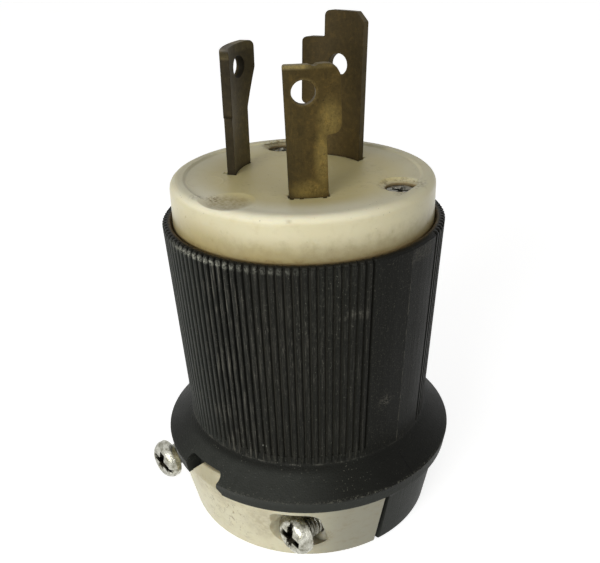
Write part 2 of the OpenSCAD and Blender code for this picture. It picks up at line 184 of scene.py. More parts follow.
PATCHES = {
    # black moulding
    "speckle": (3.0, 3, 0.8, 0.58, 0.68),
    "rib ends": (2.2, 4, 0.8, 0.42, 0.56),
    "panel scuff": (1.4, 3, 0.8, 0.46, 0.54),
    "scuffs": (2.6, 5, 0.85, 0.42, 0.54),
    "top of the panel": (1.0, 5, 0.8, 0.42, 0.62),
    "seam": (0.35, 3, 0.7, 0.44, 0.64),
    "crack": (1.5, 2, 0.55, 0.3, 0.5),
    "nicks": (1.9, 6, 0.85, 0.5, 0.64),
    "grit": (0.6, 3, 0.7, 0.4, 0.6),
    "foot line": (0.6, 4, 0.8, 0.4, 0.66),
    "dust": (0.22, 2, 0.55, 0.4, 0.6),
    # cream mouldings
    "specks": (0.3, 2, 0.55, 0.46, 0.56),
    "pits": (0.35, 2, 0.55, 0.5, 0.62),
    "dish": (1.1, 5, 0.75, 0.4, 0.62),
    "line of dirt": (0.5, 4, 0.7, 0.3, 0.65),
    "round the screws": (1.1, 5, 0.75, 0.45, 0.62),
    "beside the slots": (0.8, 4, 0.7, 0.5, 0.72),
    "smudge": (0.3, 5, 0.7, 0.5, 0.72),
    "smears": (0.8, 4, 0.7, 0.35, 0.6),
    "scratches": (1.0, 4, 0.8, 0.57, 0.62),
    # screws
    "screw dirt": (1.3, 4, 0.7, 0.4, 0.54),
}

# ---- Spots: centre, radius, soft margin and squash, which divides the size along each axis ----

RIB_SCUFFS = (
    (polar(25.4, -19.5, 51.0), 0.55, 0.4, (1, 1, 0.6)),
    (polar(25.4, -22.5, 51.4), 0.55, 0.4, (1, 1, 0.6)),
    (polar(25.4, -25.5, 51.6), 0.55, 0.4, (1, 1, 0.8)),
    (polar(25.4, -28.5, 50.9), 0.4, 0.4),
    (polar(25.4, -25.5, 49.2), 0.4, 0.3, (1, 1, 0.6)),
)
PANEL_SCUFF = (polar(24.4, -7.5, 31.6), 1.1, 1.0)
GRIP_CHIP = (polar(24.0, -61.5, 24.4), 0.42, 0.12, (1, 1, 1.5))
NOSE_PATCH = (polar(NOSE_R, -88, 61.6), 3.5, 3.0, (0.5, 0.5, 1))
SMALL_NOSE_PATCH = (polar(NOSE_R, -58, 61.2), 2.2, 2.0, (0.4, 0.4, 1))
DISH = (polar(SCREW_CIRCLE_R + 0.4, DISH_AZIMUTH, FACE_Z - 0.3), 3.4, 1.2)
DISH_END = (polar(SCREW_CIRCLE_R + 0.8, DISH_AZIMUTH - 9, FACE_Z - 0.2), 1.3, 0.9)
SCREW_SURROUNDS = [(polar(SCREW_CIRCLE_R, a, FACE_Z), 3.9, 0.9) for a in SCREW_AZIMUTHS]
SCREW_BORES = [
    (polar(SCREW_CIRCLE_R, a, FACE_Z - 0.6), 2.9, 0.4, (1, 1, 0.2)) for a in SCREW_AZIMUTHS
]
RIGHT_RIM_SMUDGE = (polar(20.6, 10, FACE_Z), 0.9, 0.7)
FRONT_RIM_SMUDGE = (polar(21.6, -97, FACE_Z), 1.0, 0.8)
PAD = (polar(17.6, 240, FACE_Z), 3.5, 0.15)
PAD_INSIDE = (polar(17.6, 240, FACE_Z), 3.1, 0.15)
GATE_MARK = (polar(23.0, -47.5, FACE_Z - 0.4), 0.7, 0.3, (1, 1, 2))
JAW_SMEARS = (
    ((12.4, -22.8, 8.6), 3.2, 2.2, (1, 1, 0.8)),
    ((4.5, -25.8, 12.8), 2.5, 2.0),
    ((-1.5, -25.6, 12.6), 2.2, 1.8),
)
JAW_POCKET = ((CLAMP_SCREW_X, -17.5, CLAMP_SCREW_Z), 4.6, 0.5)
JAW_TAB = ((1.2, -26.3, 16.0), 3.6, 2.0)
BESIDE_SCREW = ((CLAMP_SCREW_X + 3.6, -16.2, CLAMP_SCREW_Z - 1.6), 2.0, 1.2)


# ---- Materials ----


def srgb(r, g, b):
    """Linear colour of an sRGB colour given as 0 to 255."""
    return tuple(
        v / 255 / 12.92 if v <= 10 else ((v / 255 + 0.055) / 1.055) ** 2.4
        for v in (r, g, b)
    ) + (1.0,)


def shaded(share, rgb):
    return tuple(share * v for v in rgb)


class Surface:
    """A node material in the making. Its positions are in millimetres in the row frame."""

    def __init__(self, name, **shader):
        self.material = bpy.data.materials.new(name)
        self.material.use_nodes = True
        tree = self.material.node_tree
        self.nodes, self.links = tree.nodes, tree.links
        self.nodes.clear()
        self.shader = self.add("ShaderNodeBsdfPrincipled")
        output = self.add("ShaderNodeOutputMaterial")
        self.links.new(self.shader.outputs[0], output.inputs[0])
        for socket, value in shader.items():
            self.shader.inputs[socket.replace("_", " ")].default_value = value
        coords = self.add("ShaderNodeTexCoord").outputs["Object"]
        scaled = self.add("ShaderNodeVectorMath", operation="SCALE")
        self.links.new(coords, scaled.inputs[0])
        scaled.inputs["Scale"].default_value = 1 / MM
        self.p = scaled.outputs[0]
        split = self.add("ShaderNodeSeparateXYZ")
        self.links.new(self.p, split.inputs[0])
        self.x, self.y, self.z = split.outputs
        self.r = self.hypot(self.x, self.y)
        self.azimuth = self.times(self.math("ARCTAN2", self.y, self.x), 180 / math.pi)
        self.colour = None

    def add(self, kind, **settings):
        node = self.nodes.new(kind)
        for name, value in settings.items():
            setattr(node, name, value)
        return node

    def put(self, socket, value):
        if isinstance(value, bpy.types.NodeSocket):
            self.links.new(value, socket)
        else:
            socket.default_value = value

    # Numbers

    def math(self, operation, a, b=0.0):
        node = self.add("ShaderNodeMath", operation=operation)
        self.put(node.inputs[0], a)
        self.put(node.inputs[1], b)
        return node.outputs[0]

    def plus(self, a, b):
        return self.math("ADD", a, b)

    def minus(self, a, b):
        return self.math("SUBTRACT", a, b)

    def times(self, *values):
        result = values[0]
        for value in values[1:]:
            result = self.math("MULTIPLY", result, value)
        return result

    def hypot(self, a, b):
        return self.math("SQRT", self.plus(self.times(a, a), self.times(b, b)))

    def lerp(self, factor, a, b):
        node = self.add("ShaderNodeMix", data_type="FLOAT")
        self.put(node.inputs[0], factor)
        self.put(node.inputs[2], a)
        self.put(node.inputs[3], b)
        return node.outputs[0]

    # Masks, from 0 to 1

    def either(self, *values):
        """Largest of several masks."""
        result = values[0]
        for value in values[1:]:
            result = self.math("MAXIMUM", result, value)
        return result

    def step(self, value, low, high):
        """0 at low and 1 at high, smooth between; low may be the larger."""
        node = self.add("ShaderNodeMapRange", interpolation_type="SMOOTHSTEP")
        self.put(node.inputs["Value"], value)
        node.inputs["From Min"].default_value = low
        node.inputs["From Max"].default_value = high
        return node.outputs[0]

    def band(self, value, low, high, soft):
        return self.times(
            self.step(value, low - soft, low + soft),
            self.step(value, high + soft, high - soft),
        )

    def side(self, name):
        """One of the named sides of the plug."""
        return self.band(self.azimuth, *SIDES[name])

    def level(self, name):
        """One of the named levels of the plug."""
        return self.band(self.z, *LEVELS[name])

    def near(self, centre, radius, soft, squash=(1, 1, 1)):
        """Soft spot round a point; squash divides its size along each axis."""
        offset = self.add("ShaderNodeVectorMath", operation="SUBTRACT")
        self.links.new(self.p, offset.inputs[0])
        offset.inputs[1].default_value = centre
        scaled = self.add("ShaderNodeVectorMath", operation="MULTIPLY")
        self.links.new(offset.outputs[0], scaled.inputs[0])
        scaled.inputs[1].default_value = squash
        length = self.add("ShaderNodeVectorMath", operation="LENGTH")
        self.links.new(scaled.outputs[0], length.inputs[0])
        return self.step(length.outputs["Value"], radius + soft, max(radius - soft, 0))

    def near_any(self, spots):
        return self.either(*(self.near(*spot) for spot in spots))

    def near_clamp_screw(self, radius, soft):
        """Within a radius of either clamp screw's axis."""
        dx = self.minus(self.math("ABSOLUTE", self.x), CLAMP_SCREW_X)
        dz = self.minus(self.z, CLAMP_SCREW_Z)
        return self.step(self.hypot(dx, dz), radius + soft, radius - soft)

    def facing(self, azimuth):
        """1 where the surface looks towards an azimuth."""
        normal = self.add("ShaderNodeNewGeometry").outputs["Normal"]
        dot = self.add("ShaderNodeVectorMath", operation="DOT_PRODUCT")
        self.links.new(normal, dot.inputs[0])
        dot.inputs[1].default_value = polar(1, azimuth, 0)
        return self.step(dot.outputs["Value"], 0.5, 0.8)

    # Textures

    def stretch(self, x, y, z):
        node = self.add("ShaderNodeVectorMath", operation="MULTIPLY")
        self.links.new(self.p, node.inputs[0])
        node.inputs[1].default_value = (x, y, z)
        return node.outputs[0]

    def wrapped(self, turn_scale, z_scale):
        """Coordinates that follow the plug's surface: millimetres round it, then height."""
        node = self.add("ShaderNodeCombineXYZ")
        around = self.times(self.azimuth, turn_scale * math.radians(MEAN_R))
        self.links.new(around, node.inputs[0])
        self.links.new(self.times(self.z, z_scale), node.inputs[1])
        return node.outputs[0]

    def noise(self, scale, detail, roughness=0.55, vector=None):
        node = self.add("ShaderNodeTexNoise")
        self.links.new(vector or self.p, node.inputs["Vector"])
        for name, value in (("Scale", scale), ("Detail", detail), ("Roughness", roughness)):
            node.inputs[name].default_value = value
        return node.outputs[0]

    def cells(self, scale):
        """Distance to the nearest of many scattered points."""
        node = self.add("ShaderNodeTexVoronoi", feature="F1")
        self.links.new(self.p, node.inputs["Vector"])
        node.inputs["Scale"].default_value = scale
        return node.outputs["Distance"]

    def patches(self, name, vector=None):
        """One of the named kinds of patches."""
        scale, detail, roughness, low, high = PATCHES[name]
        return self.step(self.noise(scale, detail, roughness, vector), low, high)

    # Colour and finish

    def mix(self, factor, a, b, blend="MIX"):
        node = self.add("ShaderNodeMix", data_type="RGBA", blend_type=blend)
        self.put(node.inputs["Factor"], factor)
        self.put(node.inputs[6], a)
        self.put(node.inputs[7], b)
        return node.outputs[2]

    def base(self, factor, rgb_a, rgb_b):
        """Starts the colour as a mix of two."""
        self.colour = self.mix(factor, srgb(*rgb_a), srgb(*rgb_b))

    def tint(self, rgb, *masks, share=1):
        """Lays a share of a colour over the surface where all of the masks say so."""
        if share != 1:
            masks = (*masks, share)
        self.colour = self.mix(self.times(*masks), self.colour, srgb(*rgb))

    def multiply(self, mask, factors):
        self.colour = self.mix(mask, self.colour, (*factors, 1), "MULTIPLY")

    def finish(self, roughness, height, depth, edge):
        """Adds roughness, a bump of depth millimetres and edges softened over edge millimetres."""
        self.links.new(self.colour, self.shader.inputs["Base Color"])
        self.put(self.shader.inputs["Roughness"], roughness)
        bump = self.add("ShaderNodeBump")
        bump.inputs["Strength"].default_value = 1.0
        bump.inputs["Distance"].default_value = depth * MM
        self.links.new(height, bump.inputs["Height"])
        self.links.new(bump.outputs[0], self.shader.inputs["Normal"])
        bevel = self.add("ShaderNodeBevel", samples=BEVEL_SAMPLES)
        bevel.inputs["Radius"].default_value = edge * MM
        self.links.new(bevel.outputs[0], bump.inputs["Normal"])
        return self.material


def black_nylon():
    """Satin black moulding: rubbed crowns, scuffed ends and nicked edges, with painted light and
    shade on the ribs and sides.
    """
    s = Surface("black_nylon_moulding", IOR=1.5, Specular_IOR_Level=0.06)
    grip_r = s.plus(s.times(s.minus(s.z, GRIP_TOP_Z), GRIP_SLOPE), GRIP_TOP_R)
    depth = s.minus(grip_r, s.r)
    on_grip = s.times(s.step(s.z, GRIP_FOOT_Z - 0.2, GRIP_FOOT_Z + 0.5), s.step(depth, 0.9, 0.7))
    crown = s.step(depth, 0.2, 0.03)
    groove = s.times(on_grip, s.step(depth, 0.1, 0.4))
    turned = s.minus(s.azimuth, PANEL_TURN)
    half_turn = s.math("ABSOLUTE", turned)
    panel = s.either(
        s.step(half_turn, PANEL_HALF + 0.5, PANEL_HALF - 0.5),
        s.step(half_turn, 179.5 - PANEL_HALF, 180.5 - PANEL_HALF),
    )
    cloud = s.noise(0.12, 3, 0.6)
    grain = s.noise(5, 4, 0.7)
    fine = s.noise(1.6, 6, 0.75)
    s.base(cloud, BLACK["base"], BLACK["cloud"])
    s.tint(BLACK["fleck"], s.step(fine, 0.5, 0.75), share=0.5)

    # Painted light and shade evening out the ribs at the front and the foot of the grip: darker
    # crowns and lighter grooves there, darker grooves elsewhere
    foot = s.times(s.step(s.z, 36, 24), s.side("foot of the front"), 0.8)
    front = s.either(s.side("front"), foot)
    s.tint(BLACK["painted crown shade"], front, crown, share=0.6)
    s.tint(BLACK["groove"], groove, s.lerp(front, 0.35, 0.0))
    s.tint(BLACK["painted groove light"], groove, front, share=0.9)
    # The smooth side towards +X is cleaner, and darker with painted shade
    clean_shaded_side = s.side("clean")
    s.tint(BLACK["clean"], clean_shaded_side, share=0.8)

    # Rubbed crowns: pale broken streaks that follow the ribs
    long_streaks = s.noise(1.0, 5, 0.7, s.wrapped(3.2, 0.16))
    short_streaks = s.noise(1.0, 5, 0.8, s.wrapped(6, 0.5))
    rubbed = s.either(
        s.times(s.step(long_streaks, 0.5, 0.66), s.lerp(s.side("left front"), 0.22, 1.0)),
        s.times(
            s.step(short_streaks, 0.54, 0.64),
            s.side("middle"),
            s.level("middle of the grip"),
            0.8,
        ),
        s.times(s.step(short_streaks, 0.58, 0.7), s.lerp(clean_shaded_side, 0.45, 0.15)),
    )
    rubbed = s.times(rubbed, on_grip, crown, s.lerp(panel, 1.0, 0.12))
    s.tint(BLACK["speckle"], s.patches("speckle"), on_grip, crown, share=0.45)
    # Painted light: the grip's left side lighter grey
    s.tint(BLACK["painted light on the left"], on_grip, s.side("left"), share=0.4)
    s.tint(BLACK["rubbed"], rubbed)

    # Ends of the ribs under the rim, rounded and scuffed on the front left
    ends = s.times(
        s.level("rib ends"),
        s.either(s.side("scuffed rib ends"), s.times(s.side("faint rib ends"), 0.35)),
        s.patches("rib ends"),
        s.step(depth, 0.42, 0.2),
    )
    s.tint(BLACK["rib end"], ends, share=0.95)

    # Loose scuffs on the crowns and at the top of the smooth panel
    panel_scuff = s.times(s.near(*PANEL_SCUFF), s.patches("panel scuff"))
    scuffs = s.times(
        s.either(s.near_any(RIB_SCUFFS), panel_scuff),
        s.patches("scuffs"),
        s.step(depth, 0.25, 0.0),
    )
    panel_top = s.times(
        s.side("top of the panel"),
        s.level("top of the panel"),
        s.patches("top of the panel", s.wrapped(1.5, 3)),
    )
    scuffs = s.either(scuffs, s.times(panel_top, 0.6))
    s.tint(BLACK["scuff"], scuffs, share=0.6)
    s.tint(BLACK["chip"], s.near(*GRIP_CHIP))

    # Mould seam down the middle of each panel, a thin line that the light catches here and there
    seam = s.times(
        s.either(s.band(turned, -0.25, 0.25, 0.1), s.step(half_turn, 179.6, 179.85)),
        on_grip,
        s.patches("seam", s.wrapped(1, 1)),
    )
    s.tint(BLACK["seam"], seam, share=0.35)

    # A hairline crack in the flange towards +X, and nicked edges
    crack = s.times(
        s.side("crack"),
        s.band(s.r, 25.0, 28.5, 0.4),
        s.step(s.z, 20, 19.6),
        s.patches("crack"),
    )
    s.tint(BLACK["crack"], crack, share=0.8)
    flange_edge = s.times(s.step(s.r, FLANGE_R - 0.45, FLANGE_R - 0.1), s.level("flange edge"))
    lip_edge = s.times(
        s.step(s.r, LIP_R - 0.1, LIP_R + 0.1),
        s.step(s.z, FLANGE_BASE_Z + 0.35, FLANGE_BASE_Z + 0.15),
        0.7,
    )
    nicks = s.times(s.either(flange_edge, lip_edge), s.patches("nicks"))
    s.tint(BLACK["nick"], nicks, share=0.6)

    # Dust and a painted sheen over the flange's front, thinner towards +X, with grit on its
    # leathery grain
    dust_and_painted_sheen = s.times(
        s.level("flange"),
        s.step(s.r, 24.0, 25.2),
        s.side("dust_and_painted_sheen"),
        s.lerp(s.noise(0.5, 5, 0.75), 0.35, 1.15),
    )
    s.tint(BLACK["dust_and_painted_sheen"], dust_and_painted_sheen, share=0.42)
    leather = s.cells(3.2)
    grit = s.times(s.step(leather, 0.2, 0.08), dust_and_painted_sheen, s.patches("grit"))
    s.tint(BLACK["grit"], grit, share=0.6)

    # Dust in the corner where the ribs meet the flange, and scattered everywhere
    foot_line = s.times(
        s.level("foot line"),
        s.patches("foot line"),
        s.lerp(clean_shaded_side, 1.0, 0.4),
    )
    s.tint(BLACK["foot line"], foot_line, share=0.45)
    dust = s.either(
        s.times(s.step(s.cells(1.6), 0.2, 0.1), s.patches("dust")),
        s.step(s.cells(0.8), 0.1, 0.05),
    )
    s.tint(BLACK["dust"], dust, s.lerp(clean_shaded_side, 0.42, 0.12))
    # The flange's underside and the fixed jaw have gone greyer than the grip
    s.tint(BLACK["greyed"], s.step(s.z, FLANGE_Z - 0.1, FLANGE_Z - 0.7), s.lerp(fine, 0.3, 0.9))
    # Painted shadow inside the rim, with brown dirt packed in it
    rim = s.times(s.step(s.z, GRIP_TOP_Z - 0.9, GRIP_TOP_Z - 0.3), s.step(s.r, 25.7, 25.3))
    s.tint(BLACK["rim"], rim, share=0.7)
    s.tint(BLACK["rim dirt"], rim, s.step(s.r, 25.0, 24.4), s.step(fine, 0.36, 0.56), share=0.9)

    marks = s.either(rubbed, ends, scuffs, nicks)
    roughness = s.lerp(marks, s.lerp(cloud, 0.42, 0.56), 0.7)
    on_flange = s.times(
        s.step(s.z, GRIP_FOOT_Z + 0.3, GRIP_FOOT_Z),
        s.step(s.z, FLANGE_Z - 0.9, FLANGE_Z),
    )
    height = s.plus(s.times(grain, 0.3), s.times(s.step(long_streaks, 0.3, 0.9), 0.5))
    height = s.plus(height, s.times(on_flange, leather, 1.2))
    height = s.plus(height, s.times(fine, 0.35))
    height = s.minus(height, s.times(s.either(nicks, crack, scuffs), 0.8))
    # Crowns rounded by wear: across is -1 and 1 in the grooves and 0 on the crown
    in_pitch = s.math("FLOORED_MODULO", turned, RIB_PITCH)
    across = s.minus(s.times(in_pitch, 2 / RIB_PITCH), 1.0)
    ribbed = s.times(on_grip, s.minus(1.0, panel))
    height = s.minus(height, s.times(across, across, ribbed, s.lerp(front, 4.5, 2.5)))
    return s.finish(roughness, height, depth=0.06, edge=0.12)


class AgedNylon(Surface):
    """Aged cream nylon, a little translucent, with the textures its parts share."""

    def __init__(self, name):
        super().__init__(
            name,
            IOR=1.5,
            Specular_IOR_Level=0.2,
            Subsurface_Weight=0.3,
            Subsurface_Radius=(1.0, 0.75, 0.45),
            Subsurface_Scale=2.0 * MM,
        )
        self.cloud = self.noise(0.09, 3, 0.6)
        self.mottle = self.noise(0.55, 4, 0.65)
        self.fine = self.noise(2.2, 5, 0.75)
        self.specks = self.times(self.step(self.cells(0.8), 0.09, 0.05), self.patches("specks"))

    def soil(self, spots, *dirt):
        """Brown dirt where the largest of the dirt masks says, then dark spots."""
        self.tint(CREAM["dirt"], self.either(*dirt))
        self.tint(CREAM["speck"], spots, share=0.5)


def nose_nylon():
    """The nose and its face, smooth, yellowed in the middle and dirty round every opening."""
    s = AgedNylon("cream_nylon_nose")
    s.base(s.cloud, CREAM["nose"], CREAM["nose cloud"])
    s.tint(CREAM["nose mottle"], s.step(s.mottle, 0.5, 0.8), share=0.3)
    on_face = s.step(s.z, FACE_Z - 1.0, FACE_Z - 0.1)
    # Darker and browner towards the nose's foot: partly painted shade, partly dirt
    low = s.step(s.plus(s.z, s.times(s.minus(s.mottle, 0.5), 3)), 65.6, 60.8)
    s.tint(CREAM["nose foot shade and dirt"], low, share=0.9)
    yellowed = s.step(s.r, NOSE_R - 2.5, NOSE_R - 9)
    s.tint(CREAM["yellowed"], on_face, yellowed, s.lerp(s.mottle, 0.75, 1.0))
    patches = s.either(s.near(*NOSE_PATCH), s.times(s.near(*SMALL_NOSE_PATCH), 0.7))
    s.tint(CREAM["patch"], patches, s.lerp(s.mottle, 0.3, 0.9))
    # Painted light: a paler ring where the face rounds into the nose's front
    ring = s.times(on_face, s.step(s.r, 15.5, 20.5), s.side("painted light ring"))
    s.tint(CREAM["ring"], ring, s.lerp(s.mottle, 1.0, 0.6))
    dish = s.times(s.near(*DISH), s.lerp(s.patches("dish"), 0.45, 1.0))
    s.tint(CREAM["dish"], dish, share=0.7)

    # Brown line of dirt where the nose leaves the housing
    line = s.either(
        s.times(s.step(s.z, GRIP_TOP_Z + 0.9, GRIP_TOP_Z + 0.1), s.patches("line of dirt")),
        s.step(s.z, GRIP_TOP_Z + 0.35, GRIP_TOP_Z - 0.1),
    )
    dish_end = s.times(s.near(*DISH_END), s.step(s.fine, 0.42, 0.58))
    # Dirt round the assembly screws and the rim, and down in the screws' bores
    screws = s.near_any(SCREW_SURROUNDS)
    around = s.either(
        s.times(screws, s.patches("round the screws")),
        s.times(s.near(*RIGHT_RIM_SMUDGE), s.step(s.fine, 0.42, 0.56)),
        s.times(s.near(*FRONT_RIM_SMUDGE), s.step(s.fine, 0.45, 0.6)),
    )
    holes = s.either(
        s.times(screws, s.step(s.z, FACE_Z - 0.25, FACE_Z - 0.9)),
        s.times(s.near_any(SCREW_BORES), s.step(s.z, FACE_Z - 0.02, FACE_Z - 0.2)),
    )
    # Dirt beside and inside the blades' slots
    slots = s.times(
        s.band(s.r, BLADE_R - 3.0, BLADE_R + 0.8, 0.5),
        on_face,
        s.patches("beside the slots"),
    )
    in_slots = s.times(
        s.band(s.r, BLADE_R - 2.6, BLADE_R + 0.9, 0.1),
        s.step(s.z, FACE_Z - 0.1, FACE_Z - 0.6),
    )
    s.soil(
        s.specks,
        s.times(line, 0.7),
        s.times(dish, 0.35),
        s.times(dish_end, 0.8),
        s.times(around, 0.75),
        s.times(holes, 0.9),
        s.times(slots, 0.2),
        s.times(in_slots, 0.9),
    )

    # Plain round pad beside a line blade, an edge that falls away and a rough gate mark
    fall = s.math("MAXIMUM", s.minus(s.r, 17), 0.0)
    height = s.plus(s.times(s.mottle, 0.5), s.times(s.near(*PAD), 0.5))
    height = s.plus(height, s.times(fall, fall, s.side("falling edge"), -0.2))
    height = s.minus(height, s.times(s.near(*PAD_INSIDE), 0.5))
    gate = s.times(s.near(*GATE_MARK), s.step(s.fine, 0.4, 0.6), 2.0)
    height = s.minus(height, gate)
    roughness = s.lerp(on_face, s.lerp(s.mottle, 0.24, 0.34), s.lerp(s.mottle, 0.42, 0.54))
    return s.finish(roughness, height, depth=0.06, edge=0.15)


def jaw_nylon():
    """The loose jaw, handled and pitted, with smears by its screw and tab."""
    s = AgedNylon("cream_nylon_jaw")
    s.base(s.cloud, CREAM["jaw"], CREAM["jaw cloud"])
    s.tint(CREAM["jaw mottle"], s.step(s.mottle, 0.45, 0.8), share=0.35)
    # Painted shade: greyer towards the split on the +X side
    s.tint(CREAM["greyed"], s.step(s.azimuth, -58, -26))
    # Painted light over the shade on the clamp screw pocket's walls
    s.tint(CREAM["pocket"], s.near(*JAW_POCKET), s.step(s.r, 25.0, 24.4), share=0.8)
    # Painted shade on the tab under the flange
    s.tint(CREAM["tab"], s.near(*JAW_TAB), s.step(s.z, 12.6, 14.0), share=0.8)

    smudge = s.patches("smudge", s.stretch(1, 1, 1.8))
    smears = s.times(s.near_any(JAW_SMEARS), s.lerp(s.patches("smears"), 0.3, 1.0))
    crumbs = s.times(s.step(s.fine, 0.6, 0.68), s.level("crumbs"), s.side("crumbs"))
    scratches = s.times(
        s.patches("scratches", s.stretch(1.5, 1.5, 0.5)),
        s.level("scratches"),
        s.side("scratches"),
    )
    beside = s.times(s.near(*BESIDE_SCREW), s.step(s.fine, 0.4, 0.56))
    pits = s.times(s.step(s.cells(1.7), 0.14, 0.07), s.patches("pits"))
    s.soil(
        s.either(s.specks, s.times(pits, 0.6)),
        s.times(smudge, 0.3),
        s.times(smears, 0.4),
        s.times(crumbs, 0.6),
        s.times(scratches, 0.6),
        s.times(beside, 0.55),
    )
    height = s.minus(s.times(s.mottle, 0.5), s.times(s.either(s.specks, pits), 0.6))
    return s.finish(s.lerp(s.mottle, 0.36, 0.54), height, depth=0.1, edge=0.15)


def tarnished_brass(name, azimuth, tones, clean_spots, hole):
    """Dark olive tarnish over brass, cloudy along the blade, with brighter rubbed patches."""
    s = Surface(name, Metallic=0.5, IOR=1.5, Specular_IOR_Level=0.12)
    a = math.radians(azimuth)
    along = s.minus(s.times(s.y, math.cos(a)), s.times(s.x, math.sin(a)))
    streaks = s.noise(1.0, 5, 0.7, s.stretch(0.9, 0.9, 0.16))
    blotch = s.noise(0.4, 5, 0.7)
    fine = s.noise(2.6, 5, 0.75)
    hooked_half = s.step(s.plus(along, s.times(s.minus(streaks, 0.5), 5)), -4.0, 4.0)
    lighter = s.either(s.times(hooked_half, 0.8), s.times(s.step(streaks, 0.45, 0.75), 0.5))
    s.base(lighter, tones["dark"], tones["light"])
    s.tint(shaded(0.7, tones["dark"]), s.step(blotch, 0.5, 0.7), share=0.45)
    s.tint(shaded(0.6, tones["dark"]), s.step(fine, 0.55, 0.75), share=0.35)
    grain = s.plus(s.times(blotch, 0.5), s.times(fine, 0.5))
    clean = s.times(s.near_any(clean_spots), s.step(grain, 0.3, 0.54))
    s.tint(BRASS["clean"], clean, share=0.8)

    # Darker towards the top, with a worn pale top edge
    high = s.times(s.step(s.z, 79, 86), s.lerp(blotch, 0.3, 1.0))
    s.tint(shaded(0.9, tones["dark"]), high, share=0.5)
    top = s.times(
        s.step(s.z, LINE_TOP_Z - 0.9, LINE_TOP_Z - 0.3),
        s.lerp(s.step(along, 0.8, -0.8), 0.35, 1.0),
    )
    s.tint(tones["edge"], top, s.lerp(s.step(fine, 0.36, 0.52), 0.5, 0.85))

    # Painted light and shade: the side that looks at the plug's axis gets its own tone, darker
    # towards its top
    inside = s.mix(
        s.step(s.z, 74, 88),
        srgb(*shaded(1.1, tones["inside"])),
        srgb(*shaded(0.75, tones["inside"])),
    )
    painted_axis_side_light = s.times(s.facing(azimuth + 180), s.lerp(fine, 0.45, 0.95))
    s.colour = s.mix(painted_axis_side_light, s.colour, inside)

    # Mottled brighter and darker all over
    mottle = s.noise(1.0, 6, 0.78)
    s.multiply(s.times(s.step(mottle, 0.5, 0.64), 0.6), (1.6, 1.5, 1.3))
    s.multiply(s.times(s.step(mottle, 0.48, 0.34), 0.6), (0.6, 0.58, 0.58))
    # Painted highlight round the edge of the blade's hole
    hole_rim_highlight = s.near(hole, HOLE_R + 0.2, 0.3)
    s.tint(BRASS["painted hole rim highlight"], hole_rim_highlight, s.step(fine, 0.35, 0.6), share=0.5)
    # Grime at the slot, and dark dots
    at_slot = s.step(s.z, FACE_Z + 0.9, FACE_Z - 0.2)
    s.tint(BRASS["grime"], at_slot, s.step(fine, 0.35, 0.6), share=0.7)
    s.tint(BRASS["dot"], s.step(s.cells(0.75), 0.14, 0.06), s.step(blotch, 0.42, 0.6), share=0.6)

    roughness = s.lerp(clean, s.lerp(blotch, 0.52, 0.66), 0.46)
    height = s.plus(s.times(streaks, 0.4), s.times(fine, 0.5))
    return s.finish(roughness, height, depth=0.05, edge=0.15)


def bright_brass(name):
    s = Surface(name, Metallic=1.0)
    stain = s.noise(0.5, 4, 0.6)
    scratches = s.noise(1.0, 3, 0.7, s.stretch(0.6, 6, 6))
    s.base(s.step(stain, 0.4, 0.7), BRASS["bright"], BRASS["bright stain"])
    return s.finish(s.lerp(stain, 0.25, 0.45), scratches, depth=0.02, edge=0.1)


def zinc(name, green=0.0, dirt=None):
    """Zinc plate with grey stains and rub marks. dirt(s) gives the mask of the places darkened by
    dirt, and by painted shade too.
    """
    s = Surface(name, Metallic=1.0)
    stain = s.noise(0.8, 4, 0.7)
    fine = s.noise(6, 3, 0.6)
    s.base(s.step(stain, 0.36, 0.66), ZINC["plate"], ZINC["stain"])
    s.tint(ZINC["grain"], s.step(fine, 0.52, 0.74), share=0.5)
    if dirt:
        s.tint(ZINC["dirt"], dirt(s))
    if green:
        s.tint(ZINC["green"], share=green)
    height = s.plus(s.times(stain, 0.8), s.times(fine, 0.4))
    return s.finish(s.lerp(stain, 0.16, 0.38), height, depth=0.07, edge=0.2)


def clamp_screw_shade_and_dirt(head_y):
    """Dirt and painted shade in the recess of a clamp screw's head, and painted shade on its
    shank.
    """
    front = head_y - CLAMP_HEAD_H
    return lambda s: s.either(
        s.times(s.band(s.y, front + 0.4, front + 2.6, 0.25), s.near_clamp_screw(2.9, 0.2)),
        s.times(s.step(s.y, head_y - 0.1, head_y + 0.4), 0.5),
    )


def assembly_screw_shade_and_dirt(s):
    """Painted shade and dirt in the recess of the head, dirt in patches over it and thinly
    everywhere.
    """
    return s.either(
        s.step(s.z, ASSEMBLY_HEAD_Z - 0.15, ASSEMBLY_HEAD_Z - 0.6),
        s.times(s.patches("screw dirt"), 0.85),
        0.35,
    )


def blade_point(azimuth, along, z):
    """Point on a blade's outer side, along millimetres towards its hook from its middle."""
    a = math.radians(azimuth)
    out = math.sqrt(BLADE_R**2 - along**2)
    return (out * math.cos(a) - along * math.sin(a), out * math.sin(a) + along * math.cos(a), z)


